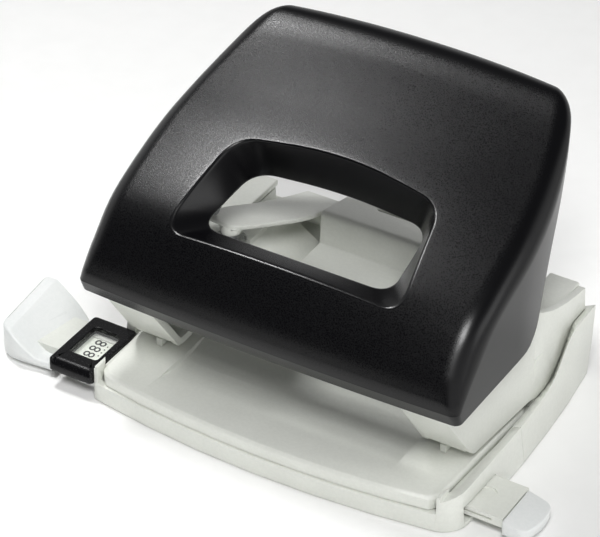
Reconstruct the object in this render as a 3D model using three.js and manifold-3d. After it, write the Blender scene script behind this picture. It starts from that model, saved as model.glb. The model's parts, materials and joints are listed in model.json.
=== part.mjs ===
// Two-hole desk punch: paper table, punching mechanism and a hooded lever handle.
// Millimetres. X runs to the user's right, Y to the back, Z up.
// The origin is on the desk, on the mid plane, under the front grip pad.

import * as THREE from "three";
import { mergeVertices } from "three/addons/utils/BufferGeometryUtils.js";
import Module from "manifold-3d";

const { clamp, lerp, smoothstep } = THREE.MathUtils;
const wasm = await Module();
wasm.setup();

// ---------------------------------------------------------------- driving dimensions
const gap = 0.3; // between pieces that touch in the real object
const runningGap = 0.4; // between pieces that move past each other
const wall = 2.2; // moulded plastic walls

const holeSpacing = 80; // filing standard, centre to centre
const holeDiameter = 6;
const holeMargin = 12; // hole centre to the edge of the sheet
const paperStopY = 35; // wall that the edge of the sheet meets
const pinX = holeSpacing / 2;
const pinY = paperStopY - holeMargin;
const slotHeight = 2.6; // paper gap above the table

// Levels of the base, from the desk up.
const baseLift = 0.5; // base above the desk
const floorTop = 1.9;
const barBottomZ = 4; // sheet-size guide bar
const barThickness = 3.4;
const barTopZ = barBottomZ + barThickness;
const deckBottom = barTopZ + 0.7;
const deckTop = deckBottom + 1.4;
const tableTop = deckTop + gap + 2.2;
const sideWallTop = tableTop + 1.4; // of the base frame
const frontRimTop = deckTop - 2.5;
const rearWallTop = 29;

const baseFrontY = -28; // front of the base on the mid plane
const baseFrontBow = 6.6; // how far the front edge falls back at the corners
const baseCornerRadius = 7;
const baseHalfWidth = 69.2; // widest, at the desk
const baseTopHalfWidth = baseHalfWidth - 1.9; // at the upper edge of the side walls
const baseRearY = 70.4;
const seamY = 20; // joint between base frame and rear tub
const tubInner = baseTopHalfWidth - 3.1; // half width inside the rear tub
const sillWidth = 2.9; // slanting upper edge of the side walls
const sillInnerX = baseTopHalfWidth - sillWidth;
const deckRearY = baseRearY - 5.6;
const sillClimbY = baseRearY - 30; // where the sill begins to climb to the rear wall

const tableHalfFront = baseTopHalfWidth - 6.5;
const tableHalfRear = baseTopHalfWidth - 3.7;
const frontDeckHalf = tableHalfFront - 3.4; // strips of deck in front of the finger valley
const frontDeckMiddle = 40;
const tableFrontSetback = 0.6; // behind the front of the base
const tableRearY = paperStopY - 1.6;
const apronWall = 1.2; // of the lip that hangs down along the table's front
const apronRearY = baseFrontY + 10.4;
const rampHalfWidth = 42.6; // finger valley between the die islands
const rampFrontY = -16;
const rampBottomY = 0;
const rampDepth = 2.3;
const dieRadius = holeDiameter / 2 + 3;

const armWidth = 17.4;
const armHalfFront = baseTopHalfWidth - 5.5; // outer face of the arms at their foot
const housingHalfRear = baseTopHalfWidth - 2.3;
const armInnerX = armHalfFront - armWidth;
const armBottomZ = tableTop + slotHeight;
const armFootZ = armBottomZ + 1.4;
const armFrontY = -1.8; // front of the arms at their foot
const armLean = 0.69; // forward for each millimetre up
const armTopZ = 40;
const armInnerTopZ = 36;
const armSightLow = armFootZ + 1.2; // window in the inner wall of each arm, under the axle
const armSightHigh = 28.4;
const armSightRearY = 8;
const wingInnerX = housingHalfRear - 14.3;
const housingRearY = baseRearY - wall - 0.2;
const capTopZ = rearWallTop + 7;
const capFrontY = housingRearY - 22.5;
const shelfFrontY = paperStopY - 2;
const shelfTopZ = capTopZ;
const shelfInnerX = pinX;

const coverHalf = 24; // cover in the middle of the housing
const coverFrontY = paperStopY + wall + 0.4;
const coverRearY = baseRearY - 0.6;
const coverBoxY = coverRearY - 18.4;
const coverTopZ = rearWallTop + 14;
const coverRearTopZ = rearWallTop + 9.8;
const stepTopZ = rearWallTop + 2;

const pivotY = 2; // handle axle
const pivotZ = 33;
const axleRadius = 2.5;
const axleHalf = armHalfFront - 3.8;
const clipThickness = 0.8;

const leverAxleY = housingRearY - 4; // press levers
const leverAxleZ = rearWallTop + 3;
const leverAxleRadius = 1.8;
const leverAxleHalf = 41.4;
const leverEars = [coverHalf - 2.6, 40.4]; // middles of the ears that hold the lever axle
const leverEarHalf = 1.2;
const leverInnerX = coverHalf + 2 * gap;
const leverOuterX = 49.4; // widest, over the pin
const leverThickness = 1.8;
const leverTipTopZ = 50;
const leverRearTopZ = leverAxleZ + 6;

const pinTipZ = armBottomZ + 0.4;
const pinHeadZ = 46;
const pinClipZ = 43;
const bracket = { inner: pinX - 6, outer: pinX + 6, front: pinY - 8, plate: 1.5, topZ: 31.5 };
const springWire = 0.45;
const springRadius = holeDiameter / 2 + springWire + 0.75;
const springTurns = 5;

const handleHalfWidth = armHalfFront + 4.5;
const handleWall = 2.3;
const handleRimZ = 41.5;
const handleCrownDrop = 2.4; // crown of the handle above its shoulders
const handleShoulder = 8.5; // shoulder radius
const handleRimShoulder = 2.6; // the same at the front rim, where the corners are crisp
const rimShoulderEnds = 0.04; // where the radius begins to grow, as a share of the crown line
const shoulderFullFrom = 0.3;
const rearEdgeBow = 3; // how far the rear edge falls back at its ends
const earX = armInnerX + 6.6; // yoke ears
const earThickness = 2;
const yokeBarZ = leverTipTopZ + 3;
const fingerWidth = 3;
const fingerInnerX = leverOuterX - fingerWidth - 0.8; // yoke fingers over the outer edge of the levers
const noseRadius = 1.6;
const noseY = pinY + 1.8;
const noseZ = leverTipTopZ + gap + 1.4;

const barFrontY = -14.6; // sheet-size guide bar
const barRearY = 2.5;
const barLeftX = -99;
const barRightX = 80;
const barTipX = barRightX + 10;
const scaleDepth = 0.8;
const barTravel = 72; // to the left
const tipOverhang = 1.4; // of the bar's tip past its front edge and under it

const frameWidth = 16.6; // gloss frame round the scale's window
const frameInnerX = 3.9 - baseTopHalfWidth;
const windowFrame = {
  inner: frameInnerX,
  outer: frameInnerX - frameWidth,
  front: -23.4,
  rear: 3.2,
  top: barTopZ + 3,
};
const aperture = { x: windowFrame.inner - 8.1, y: -9.3, width: 9, length: 12.2 };
const scaleFront = barFrontY + 0.5;
const scaleRear = -3.4;

const stopOuterX = barLeftX - 3.3; // sliding paper stop
const stopInnerX = windowFrame.outer - 1;
const stopFrontY = -21;
const stopRearY = 8;

const trayHalf = 49.5; // chip tray
const trayWall = 1.2;
const trayFrontY = 10.5;
const trayFaceTop = deckBottom + 0.9;

const pad = { halfX: 46, halfY: 12, top: 1.3 }; // grip pad under the front
const footRadius = 6;
const footTop = 1.3;

const screwX = trayHalf + 7.5; // beside the tray
const screwRows = [paperStopY + 5.5, leverAxleY - 2];
const footX = screwX; // feet between the screws
const footY = (screwRows[0] + screwRows[1]) / 2;
const screwShank = 1.5;
const screwHead = 3;
const screwHeadTop = 1.6;

// ---------------------------------------------------------------- materials
const plastic = (color, roughness) =>
  new THREE.MeshStandardMaterial({ color, roughness, metalness: 0 });
const metal = (color, roughness) =>
  new THREE.MeshStandardMaterial({ color, roughness, metalness: 1 });
const materials = {
  light: plastic(0xdcded7, 0.5),
  pale: plastic(0xe8eae8, 0.4),
  black: plastic(0x17171a, 0.45),
  gloss: plastic(0x0e0e10, 0.12),
  scale: plastic(0xd8dcd2, 0.6),
  rubber: plastic(0x3a3a3c, 0.9),
  lens: new THREE.MeshStandardMaterial({
    color: 0xf4f6f6,
    roughness: 0.05,
    metalness: 0,
    transparent: true,
    opacity: 0.25,
  }),
  steel: metal(0xb8babd, 0.3),
  zinc: metal(0xa4a7a8, 0.45),
};

// ---------------------------------------------------------------- solids
// A closed geometry as a solid with its faces outward.
function solid(geometry) {
  geometry.deleteAttribute("normal");
  geometry.deleteAttribute("uv");
  const merged = mergeVertices(geometry, 1e-4);
  const index = Array.from(merged.index.array);
  const build = () =>
    new wasm.Manifold(
      new wasm.Mesh({
        numProp: 3,
        vertProperties: merged.attributes.position.array,
        triVerts: new Uint32Array(index),
      }),
    );
  const made = build();
  if (made.volume() > 0) return made;
  for (let i = 0; i < index.length; i += 3)
    [index[i], index[i + 1]] = [index[i + 1], index[i]];
  return build();
}

const join = (pieces) => pieces.reduce((a, b) => a.add(b));
const cut = (body, tools) => tools.reduce((a, b) => a.subtract(b), body);

function box([x0, x1], [y0, y1], [z0, z1]) {
  const geometry = new THREE.BoxGeometry(Math.abs(x1 - x0), y1 - y0, z1 - z0);
  return solid(geometry.translate((x0 + x1) / 2, (y0 + y1) / 2, (z0 + z1) / 2));
}

// A shape through corners [a, b, fillet radius].
function filleted(corners) {
  const shape = new THREE.Shape();
  const count = corners.length;
  corners.forEach(([a, b, radius = 0], i) => {
    const here = new THREE.Vector2(a, b);
    const toward = (other) => {
      const there = new THREE.Vector2(other[0], other[1]);
      const reach = Math.min(radius, here.distanceTo(there) / 2.01);
      return there.sub(here).setLength(reach).add(here);
    };
    const before = toward(corners[(i + count - 1) % count]);
    const after = toward(corners[(i + 1) % count]);
    if (i === 0) shape.moveTo(before.x, before.y);
    else shape.lineTo(before.x, before.y);
    if (radius) shape.quadraticCurveTo(a, b, after.x, after.y);
  });
  shape.closePath();
  return shape;
}

// Where the first, second and third coordinate of an extruded shape point.
const along = {
  x: new THREE.Matrix4().set(0, 0, 1, 0, 1, 0, 0, 0, 0, 1, 0, 0, 0, 0, 0, 1),
  y: new THREE.Matrix4().set(1, 0, 0, 0, 0, 0, 1, 0, 0, 1, 0, 0, 0, 0, 0, 1),
  z: new THREE.Matrix4(),
};

// An outline extruded along an axis. For x it is drawn in (y, z), for y in (x, z), for z in (x, y).
function prism(axis, corners, [from, to], curveSegments = 4) {
  const low = Math.min(from, to);
  const depth = Math.abs(to - from);
  const options = { depth, bevelEnabled: false, curveSegments };
  const geometry = new THREE.ExtrudeGeometry(filleted(corners), options);
  return solid(geometry.translate(0, 0, low).applyMatrix4(along[axis]));
}

function rod(axis, radius, [from, to], [a, b], sides = 20) {
  const geometry = new THREE.CylinderGeometry(radius, radius, to - from, sides);
  geometry.rotateX(Math.PI / 2).translate(a, b, (from + to) / 2);
  return solid(geometry.applyMatrix4(along[axis]));
}

// A solid through rings of points with equal counts. The end rings are closed by triangles
// worked out on the two coordinates named by seen, or by a fan from their middle.
function loft(rings, seen) {
  const count = rings[0].length;
  const points = rings.flat();
  const faces = [];
  for (let r = 0; r + 1 < rings.length; r++)
    for (let i = 0; i < count; i++) {
      const a = r * count + i;
      const b = r * count + ((i + 1) % count);
      faces.push(a, b, b + count, a, b + count, a + count);
    }
  const closeByFan = (ring, first, followsRing) => {
    const middle = points.length;
    points.push([0, 1, 2].map((k) => ring.reduce((sum, p) => sum + p[k], 0) / count));
    for (let i = 0; i < count; i++) {
      const pair = [first + i, first + ((i + 1) % count)];
      faces.push(middle, ...(followsRing ? pair : pair.reverse()));
    }
  };
  const closeByTriangles = (ring, first, followsRing) => {
    const flat = ring.map((p) => new THREE.Vector2(p[seen[0]], p[seen[1]]));
    const ringTurn = Math.sign(THREE.ShapeUtils.area(flat));
    for (const [a, b, c] of THREE.ShapeUtils.triangulateShape(flat, [])) {
      const turn = Math.sign(THREE.ShapeUtils.area([flat[a], flat[b], flat[c]]));
      const keep = (turn === ringTurn) === followsRing;
      faces.push(first + a, first + (keep ? b : c), first + (keep ? c : b));
    }
  };
  const close = seen ? closeByTriangles : closeByFan;
  close(rings[0], 0, false);
  close(rings[rings.length - 1], (rings.length - 1) * count, true);
  const geometry = new THREE.BufferGeometry();
  geometry.setAttribute("position", new THREE.Float32BufferAttribute(points.flat(), 3));
  geometry.setIndex(faces);
  return solid(geometry);
}

const group = new THREE.Group();
group.name = "hole_punch";

function addNode(name, body, material) {
  const made = body.getMesh();
  const geometry = new THREE.BufferGeometry();
  geometry.setAttribute("position", new THREE.BufferAttribute(made.vertProperties, 3));
  geometry.setIndex(new THREE.BufferAttribute(made.triVerts, 1));
  const faceted = geometry.toNonIndexed();
  faceted.computeVertexNormals();
  const mesh = new THREE.Mesh(faceted, material);
  mesh.name = name;
  group.add(mesh);
}

const sides = { left: -1, right: 1 };
const onBothSides = (make) => Object.values(sides).map(make);

// ---------------------------------------------------------------- base
// A smooth curve through points of two coordinates.
const pointsAt = (list) => new THREE.SplineCurve(list.map(([a, b]) => new THREE.Vector2(a, b)));

// The front edge of the base, bowed forward on the mid plane.
const frontEdge = (x) => baseFrontY + baseFrontBow * (x / baseHalfWidth) ** 2;

// The side of the base: barrelled at the desk, straight at the upper edge.
function sideEdge(y, z) {
  const atDesk = baseHalfWidth - 0.0012 * (y - 13) ** 2;
  const atSill = Math.min(baseTopHalfWidth, atDesk + 1);
  if (z <= sideWallTop) return lerp(atDesk, atSill, z / sideWallTop);
  return lerp(atSill, baseTopHalfWidth, clamp((z - sideWallTop) / rearWallTop, 0, 1));
}

// Plan outline of the base at one level: sides, round front corners and bowed front.
function basePlan(inset, rearY, z) {
  const radius = baseCornerRadius;
  const cornerY = frontEdge(baseHalfWidth) + inset + radius;
  const sideX = sideEdge(cornerY, z) - inset;
  const right = [];
  for (let k = 0; k <= 5; k++) {
    const y = lerp(rearY, cornerY, k / 5);
    right.push([sideEdge(y, z) - inset, y, z]);
  }
  for (let k = 1; k <= 5; k++) {
    const turn = (k / 5) * (Math.PI / 2);
    const x = sideX - radius * (1 - Math.cos(turn));
    const bow = (frontEdge(x) - frontEdge(baseHalfWidth)) * Math.sin(turn);
    right.push([x, cornerY - radius * Math.sin(turn) + bow, z]);
  }
  for (let k = 1; k <= 3; k++) {
    const x = lerp(sideX - radius, 0, k / 3);
    right.push([x, frontEdge(x) + inset, z]);
  }
  const left = right.slice(0, -1).map(([x, y]) => [-x, y, z]);
  return [...right, ...left.reverse()];
}

// Everything inside the skin of the base between two levels, back to rearY.
function baseBlock(inset, rearY, [low, high]) {
  const levels = [low, sideWallTop, high].filter((z) => z >= low && z <= high);
  return loft([...new Set(levels)].map((z) => basePlan(inset, rearY, z)));
}

// The sill along the top of the base's side walls: higher outside than inside, level beside
// the table and climbing to the rear wall. Positions in (y, z).
const sampled = (list, count) =>
  pointsAt(list)
    .getPoints(count)
    .map((p) => [p.x, p.y]);
const sillOuter = sampled(
  [
    [-40, sideWallTop],
    [0, sideWallTop],
    [seamY, sideWallTop + 0.3],
    [sillClimbY - 8.4, sideWallTop + 1.2],
    [sillClimbY + 0.1, rearWallTop - 12.2],
    [sillClimbY + 5.6, rearWallTop - 7.6],
    [sillClimbY + 10.2, rearWallTop - 2.6],
    [sillClimbY + 14.2, rearWallTop],
    [sillClimbY + 19.6, rearWallTop + 0.2],
    [baseRearY + 1, rearWallTop],
  ],
  27,
);
const sillInner = sampled(
  [
    [-40, tableTop + 0.4],
    [0, tableTop + 0.4],
    [seamY, tableTop + 0.5],
    [sillClimbY - 5.4, tableTop + 0.8],
    [sillClimbY + 4.2, tableTop + 1.6],
    [sillClimbY + 9.8, rearWallTop - 11.4],
    [sillClimbY + 14.4, rearWallTop - 6.6],
    [sillClimbY + 18.4, rearWallTop - 2.2],
    [sillClimbY + 22.6, rearWallTop - 1.6],
    [baseRearY + 1, rearWallTop - 1.5],
  ],
  27,
);
// Everything above the sill on one side.
function aboveSill(s) {
  const at = (x) => {
    const share = (x - sillInnerX) / (baseTopHalfWidth - sillInnerX);
    const edge = sillInner.map(([y, z], i) => [
      s * x,
      lerp(y, sillOuter[i][0], share),
      lerp(z, sillOuter[i][1], share),
    ]);
    return [...edge, [s * x, baseRearY + 12, 60], [s * x, -60, 60]];
  };
  return loft([at(sillInnerX - 2), at(baseTopHalfWidth + 3)], [1, 2]);
}

// The same rod at each of the four screws.
const atScrews = (radius, zRange) =>
  onBothSides((s) => screwRows.map((y) => rod("z", radius, zRange, [s * screwX, y]))).flat();
const barSlot = (clearance) =>
  box(
    [-baseHalfWidth - 20, baseHalfWidth + 20],
    [barFrontY - clearance, barRearY + clearance],
    [barBottomZ - clearance, barTopZ + clearance],
  );
// The wider way on the right that the tip of the bar slides into.
const tipWay = () =>
  box(
    [barRightX - barTravel - runningGap, baseHalfWidth + 20],
    [barFrontY - tipOverhang - runningGap, barRearY + runningGap],
    [floorTop, barTopZ + runningGap],
  );

function baseFrame() {
  const skirt = baseBlock(0, seamY, [baseLift, sideWallTop]);
  const lower = baseBlock(wall, seamY + 1, [floorTop, deckBottom]);
  const upper = baseBlock(wall + 1, seamY + 1, [deckTop, sideWallTop + 1]);
  const tableWay = tableHalfFront + 2 * gap;
  const rimCut = box([-tableWay, tableWay], [-40, 0], [frontRimTop, 40]);
  const rearDeck = box([2 - sillInnerX, sillInnerX - 2], [seamY - 2, deckRearY], [deckBottom, deckTop]);
  const rail = (y0, y1) => box([-56, 56], [y0, y1], [floorTop - 0.2, deckBottom + 0.2]);
  const chipHoles = onBothSides((s) =>
    rod("z", holeDiameter / 2 + 1.2, [deckBottom - 1, 20], [s * pinX, pinY], 20),
  );
  const hollowed = cut(skirt, [lower, upper, rimCut, ...onBothSides(aboveSill)]);
  const railed = join([
    hollowed,
    rearDeck,
    box([-frontDeckMiddle, frontDeckMiddle], [baseFrontY + 4.4, -10], [deckBottom, deckTop]),
    box([-frontDeckHalf, frontDeckHalf], [baseFrontY + 7.4, -10], [deckBottom, deckTop]),
    rail(barFrontY - 2.6, barFrontY - runningGap),
    rail(barRearY + runningGap, barRearY + 2.6),
  ]);
  return cut(railed, [
    box([-rampHalfWidth - 1.6, rampHalfWidth + 1.6], [rampFrontY - 4, pinY - 9.4], [deckBottom - 0.1, 20]),
    barSlot(runningGap),
    tipWay(),
    box([-90, windowFrame.inner + gap], [-40, windowFrame.rear + gap], [-1, 40]),
    box([-pad.halfX, pad.halfX], [-pad.halfY, pad.halfY], [-1, pad.top + 0.1]),
    box([-trayHalf - 0.6, trayHalf + 0.6], [trayFrontY - 1, seamY + 1], [floorTop, deckBottom]),
    ...chipHoles,
    ...atScrews(screwShank + 0.4, [deckBottom - 1, 20]),
  ]);
}

function rearTub() {
  const block = baseBlock(0, baseRearY, [baseLift, rearWallTop + 2]);
  const behindSeam = box([-90, 90], [seamY + gap, baseRearY + 1], [0, rearWallTop - 0.4]);
  const skin = cut(block.intersect(behindSeam), onBothSides(aboveSill));
  const hollow = box([-tubInner, tubInner], [seamY - 1, baseRearY - wall], [floorTop, 60]);
  const bosses = atScrews(4.4, [floorTop - 0.2, deckBottom - gap]);
  const runner = (s) =>
    box(
      [s * (trayHalf + runningGap), s * (trayHalf + runningGap + 1.6)],
      [seamY + gap, baseRearY - 1],
      [floorTop - 0.2, deckBottom - gap],
    );
  const body = join([cut(skin, [hollow]), ...bosses, ...onBothSides(runner)]);
  const trayMouth = box(
    [-trayHalf - runningGap, trayHalf + runningGap],
    [baseRearY - wall - 1, baseRearY + 1],
    [floorTop, trayFaceTop + runningGap],
  );
  const feet = onBothSides((s) => rod("z", footRadius + 0.1, [-1, footTop + 0.1], [s * footX, footY]));
  return cut(body, [
    trayMouth,
    ...feet,
    ...atScrews(screwShank + 0.3, [-1, 20]),
    ...atScrews(screwHead + 0.3, [-1, screwHeadTop + 0.1]),
  ]);
}

function chipTray() {
  const rearY = baseRearY - 0.2;
  const faceFrontY = rearY - wall + gap;
  const floor = floorTop + gap;
  const top = deckBottom - runningGap;
  const tub = box([-trayHalf, trayHalf], [trayFrontY, rearY], [floor, top]);
  const hollow = box(
    [-trayHalf + trayWall, trayHalf - trayWall],
    [trayFrontY + trayWall, faceFrontY],
    [floor + 1, top + 1],
  );
  const face = box([-trayHalf, trayHalf], [faceFrontY, rearY], [floor, trayFaceTop]);
  const fingerCut = rod("y", 9, [faceFrontY - 1, rearY + 1], [0, trayFaceTop + 5], 32);
  return cut(join([cut(tub, [hollow]), face]), [fingerCut]);
}

// The cover plate that the sheet lies on, with a finger valley between two die islands.
function paperTable() {
  const tableSide = (y) =>
    lerp(tableHalfFront, tableHalfRear, clamp((y - baseFrontY) / (tableRearY - baseFrontY), 0, 1));
  const plan = (inset) => {
    const right = [];
    right.push([tableSide(tableRearY) - 4 - inset, tableRearY - inset]);
    right.push([tableSide(tableRearY) - 1.2 - inset, tableRearY - 1.2 - inset]);
    right.push([tableSide(tableRearY) - inset, tableRearY - 4]);
    right.push([tableSide(-18) - inset, -18]);
    const cornerY = frontEdge(tableHalfFront) + tableFrontSetback;
    right.push([tableHalfFront - inset, cornerY + 2.5 + inset]);
    right.push([tableHalfFront - 2.2 - inset, cornerY + inset]);
    for (let k = 1; k <= 4; k++) {
      const x = lerp(tableHalfFront - 2.2, 0, k / 4);
      right.push([x, frontEdge(x) + tableFrontSetback + inset]);
    }
    return [...right, ...right.slice(0, -1).map(([x, y]) => [-x, y]).reverse()];
  };
  const at = (inset, z) => plan(inset).map(([x, y]) => [x, y, z]);
  const plate = loft([at(0, deckTop + gap), at(0, tableTop - 1), at(1, tableTop)]);
  const band = (inset) => loft([at(inset, frontRimTop + gap), at(inset, deckTop + gap + 0.2)]);
  const apron = cut(band(0), [
    band(apronWall).translate(0, 1e-3, -0.1),
    band(apronWall).translate(0, 0, 0.1),
    box([-90, 90], [apronRearY, 60], [0, 20]),
  ]);
  // Depth of the valley along Y as a profile, cut between the ramp's side lines.
  const valley = (lift, halfWidth) =>
    prism(
      "x",
      [
        [rampFrontY, tableTop + lift],
        [rampBottomY - 4, tableTop - rampDepth + lift, 6],
        [rampBottomY + 3, tableTop - rampDepth + lift, 4],
        [pinY - 9, tableTop + lift],
        [pinY - 9, tableTop + 20],
        [rampFrontY, tableTop + 20],
      ],
      [-halfWidth, halfWidth],
    );
  const pan = prism(
    "x",
    [
      [rampFrontY - 1, deckTop + gap + 0.3],
      [rampFrontY - 1, tableTop - 0.4],
      [pinY - 8, tableTop - 0.4],
      [pinY - 8, deckTop + gap + 0.3],
      [rampBottomY + 4, deckBottom + 0.2],
      [rampBottomY - 4, deckBottom + 0.2],
    ],
    [-rampHalfWidth - 1.2, rampHalfWidth + 1.2],
  );
  const dieSeat = onBothSides((s) =>
    rod("z", dieRadius + 0.1, [0, 20], [s * pinX, pinY], 32),
  );
  const frameNotch = box([-90, windowFrame.inner + gap], [-40, windowFrame.rear + gap], [0, 40]);
  return cut(join([plate, apron, pan]), [valley(0, rampHalfWidth), frameNotch, ...dieSeat]);
}

// ---------------------------------------------------------------- upper housing
// Outer face of the housing's side walls, with a moulding draft.
const flareLength = 43;
const housingSide = (y, z) =>
  lerp(armHalfFront, housingHalfRear, clamp((y - pivotY) / flareLength, 0, 1)) -
  0.055 * (z - armBottomZ);

// A side wall: an outline in (y, z) cut from the slab between the outer and the inner face.
function sideWall(s, corners, thickness) {
  const section = (y) =>
    [
      [0, 0],
      [0, 60],
      [thickness, 60],
      [thickness, 0],
    ].map(([inset, z]) => [s * (housingSide(y, z) - inset), y, z]);
  const slab = loft([-60, pivotY, pivotY + flareLength, 90].map(section));
  return slab.intersect(prism("x", corners, [s * armInnerX, s * (housingHalfRear + 10)]));
}

const leanAt = (z) => armFrontY - armLean * (z - armFootZ);

function arm(s) {
  const outer = sideWall(
    s,
    [
      [0.6, armBottomZ],
      [leanAt(armFootZ + 0.5), armFootZ + 0.5, 1.5],
      [leanAt(armTopZ - 1), armTopZ - 1, 2],
      [leanAt(armTopZ) + 5, armTopZ + 1, 2],
      [sillClimbY - 10.4, armTopZ + 5, 6],
      [sillClimbY - 4.4, armTopZ + 5.4, 3],
      [sillClimbY + 3.8, capTopZ + 5.1, 6],
      [sillClimbY + 11.4, capTopZ + 2.6, 6],
      [sillClimbY + 18.9, capTopZ + 0.8, 6],
      [housingRearY, capTopZ - 0.4],
      [housingRearY, rearWallTop - 1.1],
      [sillClimbY + 17.8, rearWallTop - 1.1, 2],
      [sillClimbY + 9.7, rearWallTop - 9.1, 2],
      [sillClimbY + 0.2, tableTop + 2, 2],
      [sillClimbY - 4.8, tableTop + 1.8],
      [sillClimbY - 9, armBottomZ, 1],
    ],
    wall,
  );
  const front = prism(
    "x",
    [
      [leanAt(armFootZ), armFootZ],
      [leanAt(armTopZ - 1), armTopZ - 1],
      [leanAt(armTopZ - 1) + wall + 0.6, armTopZ - 1],
      [leanAt(armFootZ) + wall + 0.6, armFootZ],
    ],
    [s * armInnerX, s * (armHalfFront - 2)],
  );
  const innerWall = prism(
    "x",
    [
      [leanAt(armFootZ) + 0.6, armFootZ - 1],
      [leanAt(armInnerTopZ) + 0.6, armInnerTopZ],
      [paperStopY + 1, armInnerTopZ],
      [paperStopY + 1, armFootZ - 1],
    ],
    [s * armInnerX, s * (armInnerX + wall)],
  );
  const sight = prism(
    "x",
    [
      [leanAt(armSightLow) + 2, armSightLow],
      [armSightRearY, armSightLow],
      [armSightRearY, armSightHigh],
      [leanAt(armSightHigh) + 2, armSightHigh],
    ],
    [s * (armInnerX - 1), s * (armInnerX + wall + 1)],
  );
  const inner = innerWall.subtract(sight);
  const foot = box([s * armInnerX, s * (armHalfFront - 1)], [0.6, paperStopY + 1], [
    armBottomZ,
    armFootZ + 0.4,
  ]);
  const rib = box([s * (armHalfFront - 11), s * (armHalfFront - 9)], [-1.4, 3], [
    tableTop + gap,
    armBottomZ + 0.5,
  ]);
  const shelf = box([s * shelfInnerX, s * (housingHalfRear - 4)], [shelfFrontY, capFrontY - gap], [
    shelfTopZ - wall,
    shelfTopZ,
  ]);
  const axleBoss = rod(
    "x",
    axleRadius + 2.4,
    s > 0 ? [axleHalf - 3, armHalfFront - 2] : [2 - armHalfFront, 3 - axleHalf],
    [pivotY, pivotZ],
  );
  return join([outer, front, inner, foot, rib, shelf, axleBoss]);
}

function punchHousing() {
  const innerHalf = tubInner - gap;
  const stopWall = box([-innerHalf, innerHalf], [paperStopY, paperStopY + wall], [
    armBottomZ - slotHeight + gap,
    stepTopZ - wall - gap,
  ]);
  const floor = box([-innerHalf, innerHalf], [paperStopY, housingRearY], [
    deckTop + gap,
    deckTop + gap + wall,
  ]);
  const rearWall = box([-innerHalf, innerHalf], [housingRearY - wall, housingRearY], [
    deckTop + gap,
    rearWallTop - 0.4,
  ]);
  const lowerSide = (s) =>
    box([s * (innerHalf - wall), s * innerHalf], [paperStopY, housingRearY], [
      deckTop + gap,
      rearWallTop - 0.4,
    ]);
  const wing = (s) =>
    box([s * wingInnerX, s * innerHalf], [housingRearY - wall, housingRearY], [
      rearWallTop - 1,
      capTopZ - wall - gap,
    ]);
  const wingSide = (s) =>
    box([s * wingInnerX, s * (wingInnerX + wall)], [45, housingRearY], [
      deckTop + 1,
      capTopZ - wall - gap,
    ]);
  const leverEar = (x) =>
    box([x - leverEarHalf, x + leverEarHalf], [leverAxleY - 4, housingRearY], [
      deckTop + 1,
      leverAxleZ + 2.4,
    ]);
  // A sloping plate beside the step, from the shelf down towards the cover.
  const valleyPlate = (s) =>
    prism(
      "y",
      [
        [s * (shelfInnerX + 2), shelfTopZ - wall + 0.4],
        [s * (shelfInnerX + 0.4), shelfTopZ - wall + 0.4],
        [s * (coverHalf + 3.6), stepTopZ - 5.4],
        [s * (coverHalf + 3.6), stepTopZ - 7.2],
        [s * (shelfInnerX + 2), stepTopZ + 0.8],
      ],
      [paperStopY + 0.2, leverAxleY - 6],
    );
  const bracketWay = (s) =>
    box(
      [s * (bracket.inner - gap), s * (bracket.outer + gap)],
      [bracket.front - gap, paperStopY - 0.1],
      [armBottomZ - 1, shelfTopZ + 1],
    );
  const body = join([
    ...onBothSides(arm),
    stopWall,
    floor,
    rearWall,
    ...onBothSides(wing),
    ...onBothSides(wingSide),
    ...onBothSides(lowerSide),
    ...onBothSides((s) => leverEars.map((x) => leverEar(s * x))).flat(),
    ...onBothSides(valleyPlate),
    ...atScrews(4, [deckTop + gap, deckTop + 9]),
  ]);
  return cut(body, [
    rod("x", axleRadius + 0.1, [-axleHalf - gap, axleHalf + gap], [pivotY, pivotZ], 28),
    rod("x", leverAxleRadius + 0.1, [-50, 50], [leverAxleY, leverAxleZ], 24),
    ...atScrews(screwShank + 0.2, [deckTop - 1, deckTop + 8]),
    ...onBothSides(bracketWay),
  ]);
}

// The cover in the middle of the housing: a box with a step in front of it.
function mechanismCover() {
  const footZ = stepTopZ - 6;
  const shell = (inset, bottomZ, half) =>
    prism(
      "x",
      [
        [coverFrontY + inset, bottomZ],
        [coverFrontY + inset, stepTopZ - inset, 1.5],
        [coverBoxY + inset, stepTopZ - inset],
        [coverBoxY + 0.8 + inset, coverTopZ - inset, 2.5],
        [coverRearY - inset, coverRearTopZ - inset, 1.5],
        [coverRearY - inset, bottomZ],
      ],
      [-half, half],
    );
  const slit = box([-11, 10], [66.4, 67.2], [coverTopZ - 20, coverTopZ]);
  const overRearWall = box(
    [-coverHalf - 1, coverHalf + 1],
    [housingRearY - wall - gap, 90],
    [0, rearWallTop],
  );
  // A notch in each side wall over the ears that hold the lever axle.
  const notch = (s) =>
    box(
      [s * (leverEars[0] - leverEarHalf - 0.7), s * (coverHalf + 1)],
      [leverAxleY - 4.4, housingRearY + gap],
      [0, leverAxleZ + 2.8],
    );
  return cut(shell(0, footZ, coverHalf), [
    shell(wall, footZ - 1, coverHalf - wall),
    slit,
    overRearWall,
    rod("x", leverAxleRadius + 0.6, [-50, 50], [leverAxleY, leverAxleZ]),
    ...onBothSides(notch),
  ]);
}

// The plate that closes the corner behind an arm.
function rearCap(s) {
  const innerX = s * (wingInnerX - 0.1);
  const outerX = housingSide(housingRearY, capTopZ) - wall - gap;
  return prism(
    "z",
    [
      [innerX, capFrontY],
      [s * (outerX - 3.2), capFrontY],
      [s * outerX, capFrontY + 8.5, 8],
      [s * outerX, housingRearY + 1.6, 1],
      [innerX, housingRearY + 1.6],
    ],
    [capTopZ - wall, capTopZ],
  );
}

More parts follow.
